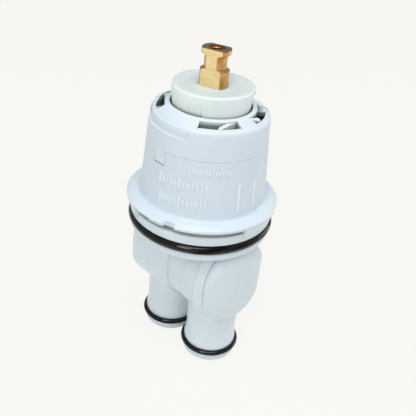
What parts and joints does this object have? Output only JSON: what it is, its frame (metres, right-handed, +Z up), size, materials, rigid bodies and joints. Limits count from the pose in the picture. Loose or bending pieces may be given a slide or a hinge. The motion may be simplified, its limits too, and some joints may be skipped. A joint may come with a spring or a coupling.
{
  "type": "shower valve cartridge",
  "caption": "Pressure-balancing shower valve cartridge: two inlet legs, a cross barrel with a sliding spool, a flanged sleeve, a windowed cap and a brass stem with two flats.",
  "frame": {"origin": "on the stem axis, level with the open ends of the two inlet legs", "axes": "+Z up the stem towards the handle; +X from the stem axis towards the cold inlet leg and along the cross barrel; +Y completes the right-handed frame"},
  "size_m": [0.0504, 0.0504, 0.1099],
  "materials": {
    "lower_shell": "semi-gloss moulded plastic, pale blue-grey",
    "upper_shell": "semi-gloss moulded plastic, pale blue-grey",
    "cap_shell": "semi-gloss moulded plastic, pale blue-grey",
    "end_caps": "semi-gloss moulded plastic, pale blue-grey",
    "inner_plastic": "matt moulded plastic",
    "nylon": "slightly translucent natural nylon",
    "limit_nylon": "slightly translucent natural nylon",
    "stem_brass": "turned and milled brass",
    "outer_seals": "greased black rubber",
    "inner_seals": "black rubber",
    "ceramic": "lapped ceramic",
    "spool_steel": "ground stainless steel",
    "screen_mesh": "stainless mesh"
  },
  "bodies": {
    "housing": {"lower_housing": "lower_shell", "end_cap": "end_caps", "cap_seal": "inner_seals", "balance_sleeve": "inner_plastic", "sleeve_seals": "inner_seals", "cold_screen": "screen_mesh", "hot_screen": "screen_mesh", "cold_leg_seal": "outer_seals", "hot_leg_seal": "outer_seals", "body_seal": "outer_seals", "housing_seal": "inner_seals", "disc_seal": "inner_seals", "fixed_disc": "ceramic", "upper_sleeve": "upper_shell", "top_cap": "cap_shell", "spring_ring": "nylon"},
    "stem": {"stem": "stem_brass", "stem_seals": "inner_seals", "disc_carrier": "inner_plastic", "moving_disc": "ceramic", "thrust_washer": "nylon"},
    "limit_ring": {"limit_stop": "limit_nylon"},
    "spool": {"balance_spool": "spool_steel"}
  },
  "joints": [
    {"name": "stem_turn", "type": "hinge", "parent": "housing", "child": "stem", "pos_m": [0, 0, 0.075], "axis": [0, 0, 1], "range_deg": [0, 250]},
    {"name": "stop_lift", "type": "slide", "parent": "stem", "child": "limit_ring", "axis": [0, 0, 1], "range_m": [0, 0.004]},
    {"name": "spool_slide", "type": "slide", "parent": "housing", "child": "spool", "axis": [1, 0, 0], "range_m": [-0.002, 0.002]}
  ]
}
